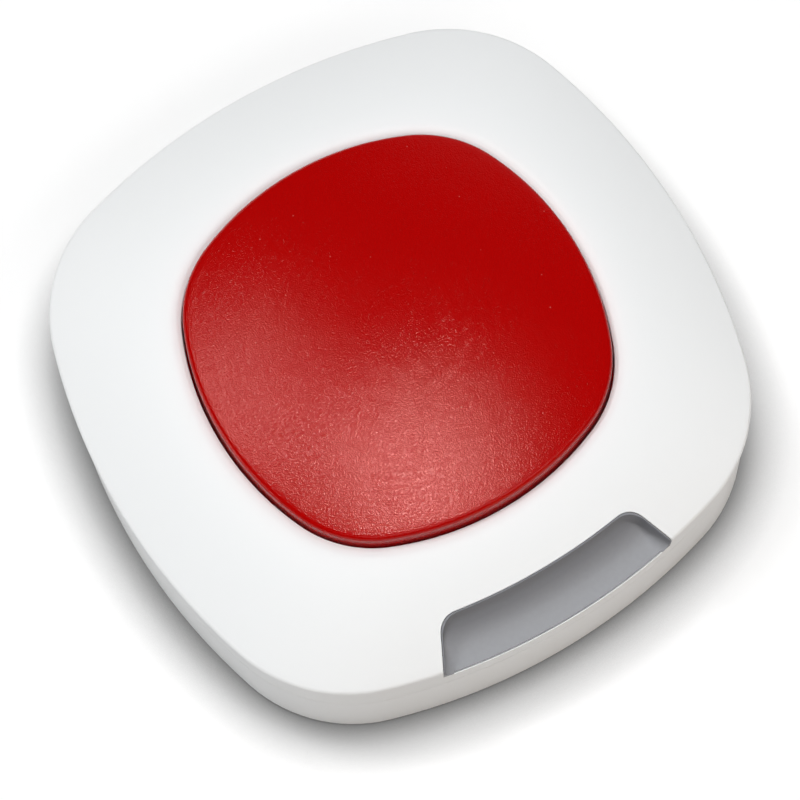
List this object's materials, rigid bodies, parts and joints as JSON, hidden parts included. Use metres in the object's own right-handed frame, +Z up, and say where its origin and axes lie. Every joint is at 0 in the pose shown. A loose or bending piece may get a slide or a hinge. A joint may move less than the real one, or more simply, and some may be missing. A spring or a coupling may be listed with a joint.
{
  "type": "panic button",
  "caption": "Bowed square wireless panic button: domed white case, large red push cap and a grey scooped light window at the front edge.",
  "frame": {"origin": "middle of the case in plan, on the plane under the rubber feet", "axes": "+Z up through the push cap, -Y toward the light window, +X to the right seen from above with the window at the bottom"},
  "size_m": [0.085, 0.0848, 0.03],
  "materials": {
    "case_white": "fine satin",
    "button_red": "semi gloss with a very fine grain",
    "window_smoke": "milky grey, smooth",
    "board_green": "solder mask",
    "black_plastic": "plain",
    "white_nylon": "plain",
    "grey_silicone": "soft matt",
    "foot_rubber": "matt",
    "cell_can": "plain sleeve",
    "spring_steel": "nickel plated",
    "screw_steel": "zinc plated",
    "tin_plate": "bright",
    "capacitor_can": "satin",
    "antenna_brass": "bare stamped",
    "led_resin": "clear over yellow phosphor"
  },
  "bodies": {
    "housing": {"front_cover": "case_white", "rear_housing": "case_white", "light_guide": "window_smoke", "circuit_board": "board_green", "switch_body": "black_plastic", "return_boot": "grey_silicone", "battery_holder": "black_plastic", "battery_1": "cell_can", "battery_2": "cell_can", "battery_bridge": "spring_steel", "terminal_positive": "spring_steel", "terminal_negative": "spring_steel", "led_left": "led_resin", "led_middle": "led_resin", "led_right": "led_resin", "radio_board": "board_green", "radio_shield": "tin_plate", "microcontroller": "black_plastic", "crystal": "tin_plate", "capacitor": "capacitor_can", "antenna": "antenna_brass", "tamper_switch": "black_plastic", "tamper_plunger": "white_nylon", "case_screw_1": "screw_steel", "case_screw_2": "screw_steel", "case_screw_3": "screw_steel", "case_screw_4": "screw_steel", "board_screw_1": "screw_steel", "board_screw_2": "screw_steel", "board_screw_3": "screw_steel", "board_screw_4": "screw_steel", "rubber_foot_1": "foot_rubber", "rubber_foot_2": "foot_rubber", "rubber_foot_3": "foot_rubber", "rubber_foot_4": "foot_rubber"},
    "button": {"panic_button": "button_red"},
    "plunger": {"switch_plunger": "white_nylon"}
  },
  "joints": [
    {"name": "button_press", "type": "slide", "parent": "housing", "child": "button", "axis": [0, 0, -1], "range_m": [0, 0.0015], "stiffness_N_per_m": 2000, "springref_m": -0.001, "deforming": ["return_boot"]},
    {"name": "plunger_press", "type": "slide", "parent": "housing", "child": "plunger", "axis": [0, 0, -1], "range_m": [0, 0.0015]}
  ],
  "couplings": [
    {"joint": "plunger_press", "follows": "button_press", "ratio": 1}
  ]
}
